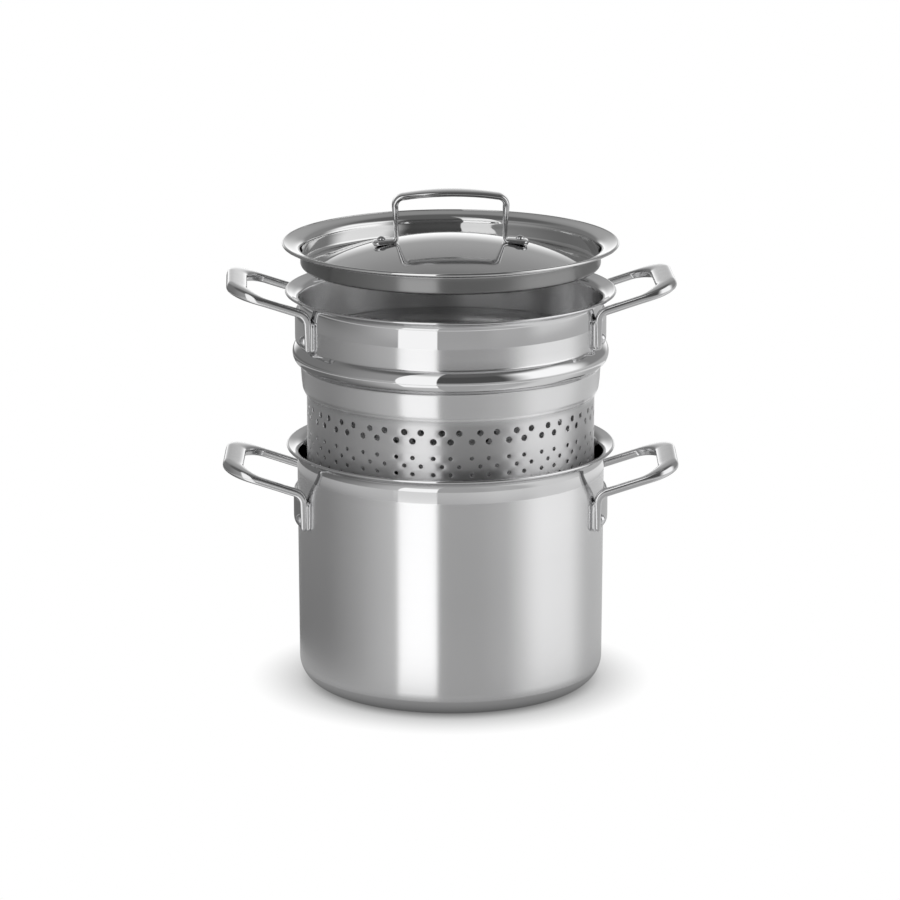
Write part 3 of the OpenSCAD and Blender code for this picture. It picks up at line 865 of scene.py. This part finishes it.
strap_w = np.concatenate([
    np.linspace(foot_w, leg_w, parts[0]),
    np.full(parts[1], leg_w),
    np.linspace(leg_w, corner_w, parts[2]),
    corner_w + (bar_w - corner_w) * smooth(np.linspace(0, 1.3, parts[3])),
])
strap_thick = np.concatenate([
    np.linspace(foot_t, leg_low_t, parts[0]),
    np.linspace(leg_low_t, strap_t, parts[1]),
    np.full(parts[2] + parts[3], strap_t),
])
half = np.stack([-strap_x, 0 * strap_x, strap_z], axis=1)
strap_path = np.concatenate([half, half[-2::-1] * [-1, 1, 1]])
strap_run = np.gradient(strap_path, axis=0)
strap_top = np.stack([-strap_run[:, 2], 0 * strap_run[:, 0], strap_run[:, 0]], axis=1)
strap_full = rounded_ends(strap_path, 5.0)
strap = sweep(
    strap_path, strap_top,
    both_ways(strap_w) * strap_full,
    both_ways(strap_thick) * np.sqrt(strap_full),
    squareness=0.62, points=36,
)
build(
    "lid_handle_strap", "lid", ["lid_handle"], handle_steel,
    [(turned(strap[0], lid_turn), None)], cast_crease,
)

# Two small steel rivets hold the lid's handle, one through each foot. Their heads are low domes,
# and their tails are pressed flat under the lid.
lid_rivet_d = 4.0
lid_head_d = 7.0
lid_head_h = 2.4
lid_tail_h = 1.2
lid_tail_below = 0.7
lid_rivet_foot = on_dome(strap_rivet_x) - lid_t - lid_tail_below
lid_rivet = rivet_outline(
    lid_head_d, lid_head_h, lid_rivet_d, lid_head_d, lid_tail_h,
    foot_z + foot_t / 2 - lid_rivet_foot,
)
for side, x in {"left": -strap_rivet_x, "right": strap_rivet_x}.items():
    shape = rivet(lid_rivet, np.array([x, 0.0, lid_rivet_foot]), [0.0, 0.0, 1.0])
    build(
        f"lid_rivet_{side}_steel", "lid", [f"lid_rivet_{side}"], rivet_steel,
        [(turned(shape, lid_turn), None)],
    )

# The stack stands on a white table in a white studio. The table darkens softly where the pot shuts
# out the light. Only its part near the pot and a ring further out show in the steel, the ring
# with painted room tones and a painted softbox strip: a painted reflection of the studio.
table_r = 1.2
table_sides = 96
shadow_reach = 0.042
shadow_depth = 0.82
near_look = 0.44
painted_softbox_look = 1.12
table_mesh = bpy.data.meshes.new("table")
table_angle = np.arange(table_sides) * 2 * np.pi / table_sides
table_rim = np.stack([np.cos(table_angle), np.sin(table_angle), 0 * table_angle], axis=1)
table_mesh.from_pydata((table_r * table_rim).tolist(), [], [list(range(table_sides))])
table = bpy.data.objects.new("table", table_mesh)
table.location.z = -0.0002
bpy.context.scene.collection.objects.link(table)
table_material = bpy.data.materials.new("white_table")
table_material.use_nodes = True
table_tree = table_material.node_tree
table_tree.nodes.remove(table_tree.nodes["Principled BSDF"])
table_mesh.materials.append(table_material)


def azimuth_of(x, y):
    """A direction round the Z axis in degrees: 0 towards the camera, and positive to its right."""
    return x.math("ARCTAN2", x, 0 - y) * (180 / math.pi)


def across_softbox(azimuth):
    """1 across the width of the softbox and 0 to either side of it."""
    return azimuth.rise(-40.5, -39.5) * (1 - azimuth.rise(-10.4, -9.6))


shelter = Finish(table_tree).node(
    "ShaderNodeAmbientOcclusion", {"samples": 16}, {"Distance": shadow_reach}
).output("AO")
rays = shelter.node("ShaderNodeLightPath", {}, {})
glossy = rays.output("Is Glossy Ray")
where, _, from_axis = place(table_tree)
parts = where.node("ShaderNodeSeparateXYZ", {}, {"Vector": where})
x, y = parts.output("X"), parts.output("Y")
azimuth = azimuth_of(x, y)
far_part = from_axis.rise(0.69, 0.71) * (1 - from_axis.rise(0.88, 0.92))
# Painted reflection: the room tones that the steel sees in the ring of the table.
painted_far_look = 0.46 + 0.21 * azimuth.rise(-115.0, -60.0) + 0.15 * azimuth.rise(0.0, 35.0)
painted_far_look = painted_far_look + 0.08 * azimuth.rise(75.0, 110.0)
# A painted softbox strip on the ring of the table, seen only in the steel.
softbox = across_softbox(azimuth) * from_axis.rise(0.74, 0.76)
painted_far_look = painted_far_look + (painted_softbox_look - painted_far_look) * softbox
painted_glossy_look = near_look + far_part * (painted_far_look - near_look)
white = 1 - (1 - shelter) * shadow_depth
glow = white.node(
    "ShaderNodeEmission", {},
    {"Color": (1.0, 1.0, 1.0, 1.0), "Strength": white * (1 - glossy + glossy * painted_glossy_look)},
)
clear = white.node("ShaderNodeBsdfTransparent", {}, {})
seen = 1 - glossy * from_axis.rise(0.15, 0.20) * (1 - far_part)
table_look = white.node("ShaderNodeMixShader", {}, {0: seen, 1: clear, 2: glow})
table_tree.links.new(table_look.socket, table_tree.nodes["Material Output"].inputs["Surface"])

# Soft studio light. The background is white. The steel sees a grey room with a tall softbox to
# the left of the camera, a broad white panel to the right, a white wall behind and a dark ceiling.
softbox_light = 1.245
ceiling_light = 0.14
world = bpy.context.scene.world or bpy.data.worlds.new("studio")
bpy.context.scene.world = world
world.use_nodes = True
world.cycles.sampling_method = "NONE"
studio = world.node_tree
studio.nodes.clear()
toward = Finish(studio).node("ShaderNodeTexCoord", {}, {}).output("Generated")
parts = toward.node("ShaderNodeSeparateXYZ", {}, {"Vector": toward})
x, y, z = (parts.output(name) for name in "XYZ")
azimuth = azimuth_of(x, y)
softbox = across_softbox(azimuth) * z.rise(-0.72, -0.66) * (1 - 0.6 * z.rise(0.70, 0.95))
right_side = azimuth.rise(-10.4, -9.6)
left_low = 0.16 + 0.20 * azimuth.rise(-115.0, -55.0) + 0.26 * azimuth.rise(-80.0, -30.0)
right_low = 0.44 + 0.08 * azimuth.rise(20.0, 40.0) + 0.27 * azimuth.rise(55.0, 76.0)
right_low = right_low - 0.28 * azimuth.rise(95.0, 135.0)
left_high = 0.22 + 0.16 * azimuth.rise(-110.0, -40.0)
right_high = 0.09 + 1.2 * azimuth.rise(38.0, 64.0) - 1.0 * azimuth.rise(98.0, 122.0)
low = left_low * (1 - right_side) + right_low * right_side
high = left_high * (1 - right_side) + right_high * right_side
raised = z.rise(-0.14, -0.02)
room = low * (1 - raised) + high * raised
far_floor = 0.30 + 0.11 * azimuth.rise(-105.0, -60.0) + 0.05 * right_side
far_floor = far_floor + 0.05 * azimuth.rise(20.0, 100.0)
on_far_floor = z.rise(-0.240, -0.228) * (1 - z.rise(-0.198, -0.186))
room = room * (1 - on_far_floor) + far_floor * on_far_floor
back_wall = 1.2 - 0.78 * z.rise(0.03, 0.30) - 0.11 * z.rise(0.30, 0.67) - 0.09 * z.rise(0.67, 0.82)
behind = azimuth.math("ABSOLUTE", azimuth).rise(148.0, 166.0) * z.rise(-0.14, -0.04)
room = room * (1 - behind) + back_wall * behind
ceiling = z.rise(0.62, 0.85)
room = room * (1 - ceiling) + ceiling_light * ceiling
room = room * (1 - softbox) + softbox_light * softbox
glossy = toward.node("ShaderNodeLightPath", {}, {}).output("Is Glossy Ray")
brightness = 1 - glossy + glossy * room
backdrop = toward.node(
    "ShaderNodeBackground", {}, {"Color": (1.0, 1.0, 1.0, 1.0), "Strength": brightness}
)
backdrop.node("ShaderNodeOutputWorld", {}, {"Surface": backdrop})

bpy.context.scene.view_settings.view_transform = "Standard"
